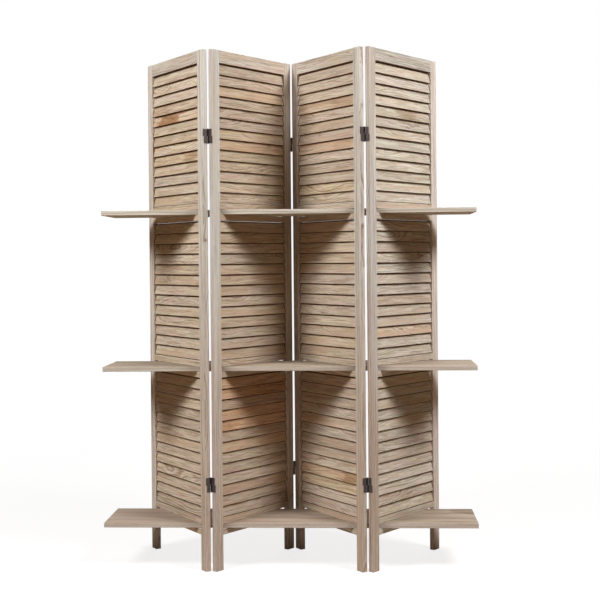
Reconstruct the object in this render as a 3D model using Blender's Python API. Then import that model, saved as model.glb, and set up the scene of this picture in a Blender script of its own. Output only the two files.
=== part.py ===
"""Folding screen: four louvred wooden panels hinged in a zigzag, with three boards through their slots.

X runs along the boards, Y away from the viewer and Z up. The origin is on the floor, at the
middle of the screen's footprint.
"""
import math

import bmesh
import bpy
from mathutils import Matrix, Vector

# Panels, seen from the front, numbered from the left
PANEL_COUNT = 4
PANEL_WIDTH = 0.402
PANEL_THICKNESS = 0.018
PANEL_ANGLE = math.radians(54.25)
FOOT_HEIGHT = 0.115

# Frame of a panel
STILE_WIDTH = 0.034
TOP_RAIL_HEIGHT = 0.0412
SHELF_RAIL_HEIGHT = 0.020
RAIL_THICKNESS = 0.0172
EDGE_EASE = 0.0010
TENON_LENGTH = 0.015
TENON_THICKNESS = 0.008
TENON_SHOULDER = 0.004

# Louvres between the rails
BAY_HEIGHT = 0.4576
SLATS_PER_BAY = 13
SLAT_WIDTH = 0.038
SLAT_THICKNESS = 0.005
SLAT_TILT = math.radians(15.0)
SLAT_EASE = 0.0015
SLAT_HOUSING = 0.006
SLAT_TO_RAIL = 0.0011

# Boards, from the bottom up
SHELF_NAMES = ("bottom_shelf", "middle_shelf", "top_shelf")
SHELF_LENGTH = 1.230
SHELF_DEPTH = 0.230
SHELF_THICKNESS = 0.015
SLOT_PLAY = 0.002
SHELF_TO_STILE = 0.0010

# Hinges, each with two equal leaves and a loose pin
HINGE_FROM_END = 0.282
HINGE_HEIGHT = 0.047
LEAF_THICKNESS = 0.0010
LEAF_MARGIN = 0.0015
LEAF_STEP = 0.0040
KNUCKLE_RADIUS = 0.00235
KNUCKLE_BORE = 0.0015
KNUCKLE_GAP = 0.0006
KNUCKLE_CLEARANCE = 0.00035
PIN_RADIUS = 0.00122
PIN_HEAD_RADIUS = 0.0021
PIN_HEAD_HEIGHT = 0.0010
PIVOT_OFFSET = 0.0018
ROUND_SIDES = 12

# Clearances
SEAT_GAP = 0.0003
CUT_OVERRUN = 0.004

# Turned and bored metal: points nearer than this share of the pin's radius are one
MERGE_SHARE = 0.01
SMOOTH_ANGLE = math.radians(35.0)

# Colours as linear red, green and blue
STILE_COLOUR = (0.552, 0.450, 0.342)
RAIL_COLOUR = (0.584, 0.462, 0.338)
SLATTED_COLOUR = (0.600, 0.470, 0.330)
SHELF_COLOUR = (0.610, 0.480, 0.345)
HINGE_COLOUR = (0.030, 0.024, 0.020)
WOOD_ROUGHNESS = 0.62
HINGE_ROUGHNESS = 0.42

# Sizes that follow from the ones above
SLOT_HEIGHT = SHELF_THICKNESS + SLOT_PLAY
STATION_HEIGHT = 2 * SHELF_RAIL_HEIGHT + SLOT_HEIGHT
SHELF_SPACING = STATION_HEIGHT + BAY_HEIGHT
SCREEN_HEIGHT = FOOT_HEIGHT + len(SHELF_NAMES) * SHELF_SPACING + TOP_RAIL_HEIGHT
OPEN_WIDTH = PANEL_WIDTH - 2 * STILE_WIDTH
SLAT_RISE = SLAT_WIDTH * math.cos(SLAT_TILT) + SLAT_THICKNESS * math.sin(SLAT_TILT)
SLAT_PITCH = (BAY_HEIGHT - SLAT_RISE - 2 * SLAT_TO_RAIL) / (SLATS_PER_BAY - 1)
PIVOT_SPAN = PANEL_WIDTH + 2 * PIVOT_OFFSET
PIVOT_SKEW = PANEL_THICKNESS + 2 * PIVOT_OFFSET
PANEL_SPACING = PIVOT_SPAN * math.cos(PANEL_ANGLE) + PIVOT_SKEW * math.sin(PANEL_ANGLE)
PIVOT_DEPTH = PIVOT_SPAN * math.sin(PANEL_ANGLE) - PIVOT_SKEW * math.cos(PANEL_ANGLE)


def clear_scene():
    """Remove every object that the scene starts with."""
    for obj in list(bpy.data.objects):
        bpy.data.objects.remove(obj, do_unlink=True)


def new_object(name, bm):
    """Turn a bmesh into a linked object with its faces pointing out."""
    bmesh.ops.recalc_face_normals(bm, faces=bm.faces)
    mesh = bpy.data.meshes.new(name)
    bm.to_mesh(mesh)
    bm.free()
    obj = bpy.data.objects.new(name, mesh)
    bpy.context.collection.objects.link(obj)
    return obj


def add_prism(bm, outline, along):
    """Add a solid: an outline of points, filled and extruded by a vector."""
    face = bm.faces.new([bm.verts.new(point) for point in outline])
    grown = bmesh.ops.extrude_face_region(bm, geom=[face])
    moved = [item for item in grown["geom"] if isinstance(item, bmesh.types.BMVert)]
    bmesh.ops.translate(bm, verts=moved, vec=along)


def add_block(bm, low, high):
    """Add a plain box between two corners."""
    outline = [
        (low[0], low[1], low[2]),
        (low[0], high[1], low[2]),
        (low[0], high[1], high[2]),
        (low[0], low[1], high[2]),
    ]
    add_prism(bm, outline, Vector((high[0] - low[0], 0, 0)))


def eased_section(width, height, ease):
    """Corners of a centred rectangle whose four corners are cut off by the ease."""
    x, y = width / 2, height / 2
    return [
        (-x + ease, -y), (x - ease, -y), (x, -y + ease), (x, y - ease),
        (x - ease, y), (-x + ease, y), (-x, y - ease), (-x, -y + ease),
    ]


def baked(obj, cutters=()):
    """Apply an object's modifiers, keep the mesh and remove the object and its cutters."""
    bpy.context.view_layer.update()
    evaluated = obj.evaluated_get(bpy.context.evaluated_depsgraph_get())
    mesh = bpy.data.meshes.new_from_object(evaluated)
    mesh.name = obj.name
    for used in (obj, *cutters):
        bpy.data.objects.remove(used, do_unlink=True)
    return mesh


def combine(obj, other, operation):
    """Add an exact Boolean of another object, which is kept out of sight."""
    other.hide_render = True
    other.display_type = "WIRE"
    boolean = obj.modifiers.new(operation.lower(), "BOOLEAN")
    boolean.operation = operation
    boolean.solver = "EXACT"
    boolean.object = other


def station_floor(station):
    """Height of the underside of the rail that carries a board."""
    return FOOT_HEIGHT + station * SHELF_SPACING


def rail_places():
    """Name, middle height and own height of each rail of a panel."""
    places = []
    for station, shelf in enumerate(SHELF_NAMES):
        below = station_floor(station) + SHELF_RAIL_HEIGHT / 2
        above = below + SHELF_RAIL_HEIGHT + SLOT_HEIGHT
        places.append((f"rail_below_{shelf}", below, SHELF_RAIL_HEIGHT))
        places.append((f"rail_above_{shelf}", above, SHELF_RAIL_HEIGHT))
    places.append(("top_rail", SCREEN_HEIGHT - TOP_RAIL_HEIGHT / 2, TOP_RAIL_HEIGHT))
    return places


def slat_heights():
    """Middle height of every slat of a panel."""
    heights = []
    for station in range(len(SHELF_NAMES)):
        first = station_floor(station) + STATION_HEIGHT + SLAT_TO_RAIL + SLAT_RISE / 2
        heights.extend(first + index * SLAT_PITCH for index in range(SLATS_PER_BAY))
    return heights


def slat_section(middle, grow, ease):
    """Tilted section of a slat, with its lower edge towards the viewer."""
    half_width = SLAT_WIDTH / 2 + grow
    half_thick = SLAT_THICKNESS / 2 + grow
    flat = [(-half_thick, half_width), (-half_thick, -half_width + ease)]
    if ease:
        flat.append((-half_thick + ease, -half_width))
    flat.extend([(half_thick, -half_width), (half_thick, half_width - ease)])
    if ease:
        flat.append((half_thick - ease, half_width))
    lean = Matrix.Rotation(-SLAT_TILT, 2)
    turned = [lean @ Vector(point) for point in flat]
    return [(point.x, middle + point.y) for point in turned]


def slats(name, start, length, grow, ease):
    """All the slats of a panel, or the housings that they sit in, as loose prisms."""
    bm = bmesh.new()
    for middle in slat_heights():
        outline = [(start, y, z) for y, z in slat_section(middle, grow, ease)]
        add_prism(bm, outline, Vector((length, 0, 0)))
    return new_object(name, bm)


def mortises(side):
    """Cutters for the rails' mortises in the stile on one side of the panel, -1 or 1."""
    bm = bmesh.new()
    shoulder = side * OPEN_WIDTH / 2
    end = shoulder + side * (TENON_LENGTH + SEAT_GAP)
    start = shoulder - side * CUT_OVERRUN
    half_thick = TENON_THICKNESS / 2 + SEAT_GAP
    for _, middle, height in rail_places():
        half_height = height / 2 - TENON_SHOULDER + SEAT_GAP
        low = (min(start, end), -half_thick, middle - half_height)
        high = (max(start, end), half_thick, middle + half_height)
        add_block(bm, low, high)
    return new_object("mortises", bm)


def stile(side):
    """Bare stile on one side of the panel, with eased long edges."""
    bm = bmesh.new()
    middle = side * (PANEL_WIDTH - STILE_WIDTH) / 2
    section = eased_section(STILE_WIDTH, PANEL_THICKNESS, EDGE_EASE)
    add_prism(bm, [(middle + x, y, 0) for x, y in section], Vector((0, 0, SCREEN_HEIGHT)))
    return new_object("stile", bm)


def slatted_stile_mesh():
    """Left stile with mortises, and the slats that are fixed in it."""
    obj = stile(-1)
    cutter = mortises(-1)
    combine(obj, cutter, "DIFFERENCE")
    start = -OPEN_WIDTH / 2 - SLAT_HOUSING
    fixed = slats("fixed_slats", start, OPEN_WIDTH + 2 * SLAT_HOUSING, 0, SLAT_EASE)
    combine(obj, fixed, "UNION")
    return baked(obj, (cutter, fixed))


def housed_stile_mesh():
    """Right stile with mortises, and the angled housings that take the slats' free ends."""
    obj = stile(1)
    cutter = mortises(1)
    combine(obj, cutter, "DIFFERENCE")
    start = OPEN_WIDTH / 2 - CUT_OVERRUN
    length = CUT_OVERRUN + SLAT_HOUSING + SEAT_GAP
    housings = slats("housings", start, length, SEAT_GAP, 0)
    combine(obj, housings, "DIFFERENCE")
    return baked(obj, (cutter, housings))


def rail_mesh(height):
    """Rail with eased long edges and a tenon at each end, about its own middle."""
    bm = bmesh.new()
    shoulder = OPEN_WIDTH / 2 - SEAT_GAP
    section = eased_section(RAIL_THICKNESS, height, EDGE_EASE)
    add_prism(bm, [(-shoulder, y, z) for y, z in section], Vector((2 * shoulder, 0, 0)))
    obj = new_object("rail", bm)
    bm = bmesh.new()
    reach = OPEN_WIDTH / 2 + TENON_LENGTH
    corner = Vector((reach, TENON_THICKNESS / 2, height / 2 - TENON_SHOULDER))
    add_block(bm, -corner, corner)
    tongue = new_object("tongue", bm)
    combine(obj, tongue, "UNION")
    return baked(obj, (tongue,))


def shelf_mesh():
    """Board with eased long edges, about its own middle."""
    bm = bmesh.new()
    section = eased_section(SHELF_DEPTH, SHELF_THICKNESS, EDGE_EASE)
    outline = [(-SHELF_LENGTH / 2, y, z) for y, z in section]
    add_prism(bm, outline, Vector((SHELF_LENGTH, 0, 0)))
    return baked(new_object("shelf", bm))


def upright_cylinder(name, radius, low, high):
    """Plain round bar about the Z axis."""
    bm = bmesh.new()
    turns = [2 * math.pi * index / ROUND_SIDES for index in range(ROUND_SIDES)]
    outline = [(radius * math.cos(turn), radius * math.sin(turn), low) for turn in turns]
    add_prism(bm, outline, Vector((0, 0, high - low)))
    return new_object(name, bm)


def leaf_mesh():
    """Hinge leaf about its pivot: X points out of the stile's end and Y runs across it.

    The lower half carries the knuckle and reaches one step further across the stile. The upper
    half stops short of the other leaf's knuckle.
    """
    half = HINGE_HEIGHT / 2
    start = KNUCKLE_RADIUS + KNUCKLE_CLEARANCE
    full_reach = PIVOT_OFFSET + PANEL_THICKNESS - LEAF_MARGIN
    short_reach = full_reach - LEAF_STEP
    under = -PIVOT_OFFSET + SEAT_GAP
    knuckle_top = -KNUCKLE_GAP / 2
    outline = [
        (0, -half), (full_reach, -half), (full_reach, 0), (short_reach, 0),
        (short_reach, half), (start, half), (start, knuckle_top), (0, knuckle_top),
    ]
    bm = bmesh.new()
    add_prism(bm, [(under, y, z) for y, z in outline], Vector((LEAF_THICKNESS, 0, 0)))
    obj = new_object("leaf", bm)
    knuckle = upright_cylinder("knuckle", KNUCKLE_RADIUS, -half, knuckle_top)
    combine(obj, knuckle, "UNION")
    bore = upright_cylinder("bore", KNUCKLE_BORE, -half - CUT_OVERRUN, CUT_OVERRUN)
    combine(obj, bore, "DIFFERENCE")
    mesh = baked(obj, (knuckle, bore))
    mesh.shade_smooth()
    mesh.set_sharp_from_angle(angle=SMOOTH_ANGLE)
    return mesh


def pin_mesh():
    """Hinge pin with a flat head at each end, turned about the Z axis."""
    under_head = HINGE_HEIGHT / 2 + SEAT_GAP
    end = under_head + PIN_HEAD_HEIGHT
    profile = [
        (0, end), (PIN_HEAD_RADIUS, end), (PIN_HEAD_RADIUS, under_head), (PIN_RADIUS, under_head),
        (PIN_RADIUS, -under_head), (PIN_HEAD_RADIUS, -under_head), (PIN_HEAD_RADIUS, -end), (0, -end),
    ]
    bm = bmesh.new()
    points = [bm.verts.new((radius, 0, height)) for radius, height in profile]
    edges = [bm.edges.new(pair) for pair in zip(points, points[1:])]
    bmesh.ops.spin(bm, geom=points + edges, cent=(0, 0, 0), axis=(0, 0, 1), dvec=(0, 0, 0),
                   angle=2 * math.pi, steps=ROUND_SIDES, use_merge=True)
    bmesh.ops.remove_doubles(bm, verts=bm.verts, dist=PIN_RADIUS * MERGE_SHARE)
    mesh = baked(new_object("pin", bm))
    mesh.shade_smooth()
    mesh.set_sharp_from_angle(angle=SMOOTH_ANGLE)
    return mesh


def finish(name, colour, roughness, metallic):
    """Material of one sub-part."""
    material = bpy.data.materials.new(name)
    material.use_nodes = True
    shader = material.node_tree.nodes["Principled BSDF"]
    shader.inputs["Base Color"].default_value = (*colour, 1)
    shader.inputs["Roughness"].default_value = roughness
    shader.inputs["Metallic"].default_value = metallic
    return material


def add_axis(name, place, parent=None):
    """Empty on a joint's axis, which carries what turns about it."""
    axis = bpy.data.objects.new(name, None)
    bpy.context.collection.objects.link(axis)
    axis.parent = parent
    axis.location = place - (world_place(parent) if parent else Vector((0, 0, 0)))
    return axis


def world_place(axis):
    """World position of an empty, whose parents are only moved and never turned."""
    place = axis.location.copy()
    while axis.parent:
        axis = axis.parent
        place += axis.location
    return place


def add_part(name, mesh, axis, place, turn, colour, metallic=0):
    """One sub-part: its own object and material on a shared mesh, under its axis."""
    own_mesh = mesh.copy()
    own_mesh.name = name
    own_mesh.materials.clear()
    roughness = HINGE_ROUGHNESS if metallic else WOOD_ROUGHNESS
    own_mesh.materials.append(finish(name, colour, roughness, metallic))
    obj = bpy.data.objects.new(name, own_mesh)
    bpy.context.collection.objects.link(obj)
    obj.parent = axis
    obj.location = place - world_place(axis)
    obj.rotation_euler = turn.to_euler()
    return obj


def panel_place(number):
    """Middle of a panel on the floor."""
    return Vector(((number - (PANEL_COUNT + 1) / 2) * PANEL_SPACING, 0, 0))


def panel_turn(number):
    """Turn of a panel about the vertical: odd ones come forward to the right, even ones go back."""
    return Matrix.Rotation(PANEL_ANGLE * (1 if number % 2 == 0 else -1), 3, "Z")


def pivot_place(left):
    """Axis between a panel and the next one: forward after an odd panel, back after an even one."""
    sideways = (left - PANEL_COUNT / 2) * PANEL_SPACING
    depth = PIVOT_DEPTH / 2 * (1 if left % 2 == 0 else -1)
    return Vector((sideways, depth, 0))


def leaf_turn(panel, end, back):
    """Frame of the leaf on one end of a panel, -1 or 1, for a pivot on its back or front face."""
    turn = panel_turn(panel)
    outward = turn @ Vector((end, 0, 0))
    across = turn @ Vector((0, -1 if back else 1, 0))
    return Matrix((outward, across, outward.cross(across))).transposed()


def build_axes():
    """The second panel stands; the first and third turn on it, and the fourth on the third."""
    axes = {2: add_axis("panel_2_base", panel_place(2))}
    axes[1] = add_axis("fold_axis_12", pivot_place(1), axes[2])
    axes[3] = add_axis("fold_axis_23", pivot_place(2), axes[2])
    axes[4] = add_axis("fold_axis_34", pivot_place(3), axes[3])
    return axes


def build_panels(axes):
    """Stiles with their slats, and rails, of all the panels."""
    slatted = slatted_stile_mesh()
    housed = housed_stile_mesh()
    rails = {height: rail_mesh(height) for height in (SHELF_RAIL_HEIGHT, TOP_RAIL_HEIGHT)}
    for number in range(1, PANEL_COUNT + 1):
        axis, place, turn = axes[number], panel_place(number), panel_turn(number)
        add_part(f"panel_{number}_slatted_stile", slatted, axis, place, turn, SLATTED_COLOUR)
        add_part(f"panel_{number}_housed_stile", housed, axis, place, turn, STILE_COLOUR)
        for rail, middle, height in rail_places():
            lifted = place + Vector((0, 0, middle))
            add_part(f"panel_{number}_{rail}", rails[height], axis, lifted, turn, RAIL_COLOUR)


def build_hinges(axes):
    """Two hinges between each pair of panels: a leaf on either stile, and the pin."""
    leaf = leaf_mesh()
    pin = pin_mesh()
    middle_axis = add_axis("middle_pins_axis", pivot_place(2), axes[2])
    pin_axes = {1: axes[1], 2: middle_axis, 3: axes[4]}
    heights = {"lower": HINGE_FROM_END, "upper": SCREEN_HEIGHT - HINGE_FROM_END}
    for left in range(1, PANEL_COUNT):
        right = left + 1
        forward = left % 2 == 1
        for level, height in heights.items():
            name = f"hinge_{left}{right}_{level}"
            place = pivot_place(left) + Vector((0, 0, height))
            for panel, end in ((left, 1), (right, -1)):
                turn = leaf_turn(panel, end, forward)
                add_part(f"{name}_leaf_{panel}", leaf, axes[panel], place, turn, HINGE_COLOUR, 1)
            upright = Matrix.Identity(3)
            add_part(f"{name}_pin", pin, pin_axes[left], place, upright, HINGE_COLOUR, 1)
    return middle_axis


def build_shelves(middle_axis):
    """Boards through the slots of all the panels, close behind the front stiles."""
    board = shelf_mesh()
    rise = OPEN_WIDTH / 2 * math.sin(PANEL_ANGLE)
    stile_corner = -rise + PANEL_THICKNESS / 2 * math.cos(PANEL_ANGLE)
    depth = stile_corner + SHELF_TO_STILE + SHELF_DEPTH / 2
    for station, name in enumerate(SHELF_NAMES):
        underside = station_floor(station) + SHELF_RAIL_HEIGHT + SEAT_GAP
        place = Vector((0, depth, underside + SHELF_THICKNESS / 2))
        add_part(name, board, middle_axis, place, Matrix.Identity(3), SHELF_COLOUR)


def main():
    """Build the whole screen."""
    clear_scene()
    axes = build_axes()
    build_panels(axes)
    middle_axis = build_hinges(axes)
    build_shelves(middle_axis)


main()
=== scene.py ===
import math
import random

import bmesh
import bpy
from bpy.props import FloatProperty, FloatVectorProperty, PointerProperty
from mathutils import Matrix, Vector


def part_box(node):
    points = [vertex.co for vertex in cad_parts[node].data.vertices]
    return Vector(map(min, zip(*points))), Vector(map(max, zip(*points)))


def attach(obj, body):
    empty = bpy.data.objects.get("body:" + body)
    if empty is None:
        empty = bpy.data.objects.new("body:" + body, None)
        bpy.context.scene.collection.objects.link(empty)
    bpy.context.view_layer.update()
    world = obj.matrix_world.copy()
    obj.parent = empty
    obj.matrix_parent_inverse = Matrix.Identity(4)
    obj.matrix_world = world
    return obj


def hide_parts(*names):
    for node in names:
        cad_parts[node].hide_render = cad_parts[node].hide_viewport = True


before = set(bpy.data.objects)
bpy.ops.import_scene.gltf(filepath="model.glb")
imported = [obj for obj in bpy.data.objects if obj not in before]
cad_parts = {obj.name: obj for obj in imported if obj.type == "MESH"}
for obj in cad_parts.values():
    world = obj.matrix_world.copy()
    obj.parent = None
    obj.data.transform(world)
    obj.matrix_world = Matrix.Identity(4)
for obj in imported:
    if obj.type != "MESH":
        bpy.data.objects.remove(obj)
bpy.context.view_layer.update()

bl_info = {
    "name": "Louvred folding screen",
    "version": (1, 0, 0),
    "blender": (4, 5, 0),
    "location": "3D View > Sidebar > Screen",
    "description": "Slats, stiles, hinges and wood finishes of a folding screen with three boards",
    "category": "Object",
}

# Where the panels stand, as the frame has them
PANELS = (1, 2, 3, 4)
PANEL_ANGLE = math.radians(54.25)
PANEL_SPACING = 0.254502
PANEL_WIDTH = 0.402
PANEL_THICKNESS = 0.018
STILE_WIDTH = 0.034
SCREEN_HEIGHT = 1.700
OPEN_WIDTH = PANEL_WIDTH - 2 * STILE_WIDTH

# Rails: a drop brings the lower edge of those above the boards closer to the board
RAILS_PER_PANEL = 7
RAIL_THICKNESS = 0.0172
RAIL_EDGE = 0.0015
RAIL_DROP = 0.0011

# Louvres, from the lowest bay up
BAYS = ("lower", "middle", "upper")
FIRST_SLAT_HEIGHT = 0.1913
BAY_STEP = 0.5146
SLATS_PER_BAY = 13
SLAT_PITCH = 0.034916
SLAT_HOUSING = 0.006
SLAT_EASE_SEGMENTS = 2

# Hinges: how far a leaf's face lies in from the pin, and its screws' places across and up
HINGES = ((1, 2), (2, 3), (3, 4))
LEVELS = ("lower", "upper")
LEAF_FACE = 0.0005
SCREW_PLACES = ((0.0085, 0.0150), (0.0110, -0.0150))

# Screw head in shares of its radius: its profile, out and up, and the cross recess
CROWN_SHARE = 0.09
SCREW_PROFILE_SHARES = ((0.0, CROWN_SHARE), (0.45, 0.08), (0.80, 0.05), (1.0, 0.0),
                        (0.66, -0.34), (0.0, -0.34))
RECESS_DEPTH_SHARE = 0.5
RECESS_LENGTH_SHARE = 1.15
RECESS_WIDTH_SHARE = 0.24
SCREW_SIDES = 16

# Corners closer than a distance are joined, or on a screw closer than a share of its radius
MERGE_DISTANCE = 1e-6
MERGE_SHARE = 0.001

# Seeds of the grain, with a step from panel to panel, and of the random draws
PANEL_SEED_STEP = 10
FIRST_RAIL_SEED = 200
FIRST_BOARD_SEED = 300
BRONZE_SEED = 3.0
SLAT_DRAWS = 7
SCREW_DRAWS = 11

# Tones of the wood as shares of red, green and blue: by panel, board or stile, and by name
SLAT_TONES = {1: (1.03, 1.07, 1.08), 2: (0.88, 0.90, 0.92), 3: (1.00, 1.05, 1.09),
              4: (1.01, 1.13, 1.24)}
TOP_RAIL_TONES = {1: (0.95, 0.93, 0.90), 2: (1.06, 1.05, 1.03), 3: (1.06, 1.06, 1.05),
                  4: (0.97, 0.98, 0.96)}
BOARD_TONES = {"bottom_shelf": (0.90, 0.87, 0.87), "middle_shelf": (0.93, 0.92, 0.90),
               "top_shelf": (1.05, 1.07, 1.05)}
STILE_TONES = {(1, -1): (1.26, 1.26, 1.25), (1, 1): (1.13, 1.18, 1.20),
               (2, -1): (1.04, 1.11, 1.17), (2, 1): (1.00, 1.00, 1.00),
               (3, -1): (1.00, 1.00, 1.00), (3, 1): (1.07, 1.12, 1.14),
               (4, -1): (1.03, 1.07, 1.11), (4, 1): (1.26, 1.23, 1.26)}
OWN_TONES = {"plain": (1.0, 1.0, 1.0), "tan": (1.0, 0.95, 0.88), "orange": (1.03, 0.98, 0.90),
             "reddish": (1.0, 0.92, 0.87), "pinkish": (1.02, 0.97, 0.95),
             "pale": (1.05, 1.06, 1.09), "greenish": (0.99, 1.02, 0.97),
             "yellowish": (1.03, 1.01, 0.92), "rusty": (1.16, 0.95, 0.80)}

# Slats that differ: own tone, then middle, half length and strength of a brown figure
NO_FIGURE = (0.0, 0.0, 0.0)
SLAT_MARKS = {
    (1, "upper", 9): ("tan", (-0.10, 0.07, 0.35)),
    (1, "upper", 8): ("pinkish", (-0.05, 0.10, 0.95)),
    (1, "upper", 4): ("orange", (0.11, 0.06, 0.45)),
    (2, "upper", 11): ("pale", NO_FIGURE),
    (2, "upper", 10): ("orange", NO_FIGURE),
    (2, "upper", 5): ("reddish", NO_FIGURE),
    (2, "upper", 4): ("greenish", NO_FIGURE),
    (3, "upper", 9): ("reddish", (0.10, 0.08, 0.30)),
    (3, "upper", 5): ("pinkish", (0.10, 0.07, 0.25)),
    (3, "upper", 1): ("yellowish", NO_FIGURE),
    (4, "upper", 8): ("plain", (0.03, 0.08, 0.50)),
    (4, "middle", 5): ("reddish", NO_FIGURE),
    (4, "middle", 2): ("reddish", NO_FIGURE),
    (2, "lower", 12): ("rusty", NO_FIGURE),
    (2, "lower", 11): ("rusty", (0.06, 0.12, 0.35)),
    (2, "lower", 10): ("reddish", NO_FIGURE),
    (2, "lower", 9): ("rusty", NO_FIGURE),
    (2, "lower", 8): ("rusty", (-0.14, 0.06, 0.45)),
    (2, "lower", 6): ("orange", NO_FIGURE),
    (2, "lower", 2): ("reddish", NO_FIGURE),
    (3, "lower", 3): ("orange", (0.13, 0.06, 0.70)),
    (3, "lower", 2): ("yellowish", NO_FIGURE),
    (4, "lower", 1): ("pinkish", NO_FIGURE),
}

# Knots: along and across a slat with the radius, and in a stile its place and the radius
SLAT_KNOTS = {(1, "middle", 7): (0.150, -0.0150, 0.0030)}
NO_SLAT_KNOT = (0.0, 0.0, 0.0)
STILE_KNOTS = {(1, 1): ((0.230, 0.017, 0.0), 0.0030)}
NO_KNOT = ((0.0, 0.0, 0.0), 0.0)

# Values that each corner of a slat carries for its material
SLAT_VECTORS = ("slat_place", "slat_tone", "slat_figure", "slat_knot")
SLAT_SEED = "slat_seed"

# Grain of each kind of piece
GRAINS = {
    "slat": {"ring": 0.0040, "heart": 0.080, "spread": 0.14, "patches": 0.25, "streak": 0.0052,
             "length": 0.095, "across": 1.0, "wave": 1.0},
    "stile": {"ring": 0.0050, "heart": 0.090, "spread": 0.06, "patches": 0.19, "streak": 0.0048,
              "length": 0.30, "across": 1.0, "wave": 0.8},
    "rail": {"ring": 0.0045, "heart": 0.090, "spread": 0.08, "patches": 0.25, "streak": 0.0052,
             "length": 0.11, "across": 1.0, "wave": 0.8},
    "board": {"ring": 0.0080, "heart": 0.120, "spread": 0.06, "patches": 0.16, "streak": 0.0065,
              "length": 0.34, "across": 0.30, "wave": 0.22},
}

# Tints that multiply the wood, and colours that cover it
END_TINT = (0.60, 0.50, 0.42)
# Painted shade: the front stiles darker and warmer towards their feet, where the light falls off
FOOT_SHADE_TINT = (0.88, 0.77, 0.70)
# Painted light: the boards' front and back edges lighter and bluer than their tops
BOARD_SIDE_PAINTED_LIGHT = (1.32, 1.44, 1.58)
STILE_EDGE_TINT = (0.94, 0.92, 0.94)
FIGURE_TINT = (0.62, 0.46, 0.33)
# Painted shade: colour of the dark lines where slats overlap, on their edges and along the rails
# beside them
CREVICE_SHADE_COLOUR = (0.140, 0.066, 0.017)
# Painted shade: colour of the line where the slats meet the stiles
JOINT_SHADE_COLOUR = (0.10, 0.055, 0.030)
HALO_COLOUR = (0.36, 0.20, 0.11)
CORE_COLOUR = (0.075, 0.040, 0.022)

# Log: scales are waves in a metre, and a ramp is a start, an end and its values there
WOBBLE_SCALE = (13.0, 55.0, 55.0)
WOBBLE_RAMP = (0.2, 0.8, -0.0021, 0.0021)
KNOT_SWELL = 0.004
LEAST_KNOT = 1e-5
CORE_RAMP = (1.0, 0.55)
HALO_RAMP = (4.5, 0.4)
SWAY_SCALE = 3.2
HEART_SWAY = 0.06
HEART_TURN_RAMP = (0.0, 1.0, -1.25, 1.25)
HEART_REACH_RAMP = (0.0, 1.0, 0.45, 1.5)
LATE_RISE = (0.30, 0.90)
LATE_FALL = (1.0, 0.93)
SEASON_SCALE = 0.6
SEASON_RAMP = (0.35, 0.65, 0.15, 1.0)
STREAK_RAMP = (0.38, 0.66)
BROAD_SHARES = (0.6, 0.3, 0.3)
BROAD_RAMP = (0.36, 0.66)
FIBRE_SCALE = (45.0, 1500.0, 1500.0)
FIBRE_RAMP = (0.2, 0.8, -0.10, 0.10)
WARMTH_RAMP = (0.2, 0.95, 0.10, 0.75)
PATCH_SHARES = (1.4, 0.85, 0.85)
WOOD_ROUGHNESS_RAMP = (0.2, 1.0, 0.56, 0.74)
NOISE_MIDDLE = (0.5, 0.5, 0.5)
UNCHANGED = (1.0, 1.0, 1.0)

# Log: how far apart its seeds lie, and how much each part of the grain counts
OWN_SEED_STEP = 3.71
SECOND_DRAW = 31.0
PATCH_DRAW = 5.3
LATE_DARKNESS = 0.62
STREAK_DARKNESS = 0.52
MEAN_LIGHTNESS = 0.62
MEAN_REDNESS = 0.5
RED_CHANGE = 0.10
BLUE_CHANGE = 0.55
HALO_STRENGTH = 0.35
CORE_STRENGTH = 0.85
FIBRE_RELIEF = 0.6
STREAK_RELIEF = 0.5
LATE_RELIEF = 0.35
LATE_POLISH = 0.3

# Surface of the wood, with paler edges, partly worn and partly a painted highlight
WORN_HIGHLIT_WIDTH = 0.0016
WORN_HIGHLIT_STRENGTH = 0.30
WORN_HIGHLIT_PALENESS = 0.65
WORN_HIGHLIT_SCALE = (60.0, 260.0, 260.0)
WORN_HIGHLIT_RAGGED_RAMP = (0.3, 0.7, 0.25, 1.5)
WORN_HIGHLIT_RAMP = (1.0, 0.2)
WOOD_BUMP = 0.45
WOOD_RELIEF = 0.0005
WOOD_SPECULAR = 0.02
FACING_RAMP = (0.75, 0.95)
FOOT_SHARES = (0.4, -0.8)

# Dark lines of painted shade where slats overlap, on their edges, along the rails and at the
# stiles: how far in from an edge they begin and are full, and the heights of their change
CREVICE_HEIGHTS = (1.25, 0.90)
CREVICE_WIDTHS = (0.0048, 0.0070)
CREVICE_SOFTNESS = 0.0022
BACK_CREVICE = (0.0050, 0.0028)
SLAT_EDGE_LINE = (0.0007, 0.0002)
RAIL_EDGE_LINE = (0.0008, 0.0002)
JOINT_LINE = (0.0032, 0.0012)
FACE_SOFTNESS = 0.0005
CREVICE_STRENGTH = 0.96
RAIL_LINE_STRENGTH = 0.9
JOINT_STRENGTH = 0.85

# Brown figures of the slats
LEAST_REACH = 0.001
FIGURE_SCALE = (24.0, 150.0, 150.0)
FIGURE_RAGGED_RAMP = (0.3, 0.7, -0.35, 0.35)
FIGURE_RAMP = (1.0, 0.55)

# Bronze
MOTTLE_SCALE = (240.0, 240.0, 240.0)
MOTTLE_RAMP = (0.3, 0.7, 0.0, 0.35)
RUB_SCALE = (520.0, 520.0, 520.0)
RUB_RAMP = (0.55, 0.75)
RUB_STRENGTH = 0.6
BRONZE_ROUGHNESS_RAMP = (0.2, 0.8, 0.34, 0.58)
KNUCKLE_RAMP = (0.0055, 0.0034, 0.0, 0.88)
KNUCKLE_COLOUR = (0.010, 0.008, 0.009)
BRONZE_BUMP = 0.4
BRONZE_RELIEF = 0.0003
BRONZE_METALLIC = 0.80

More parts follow.
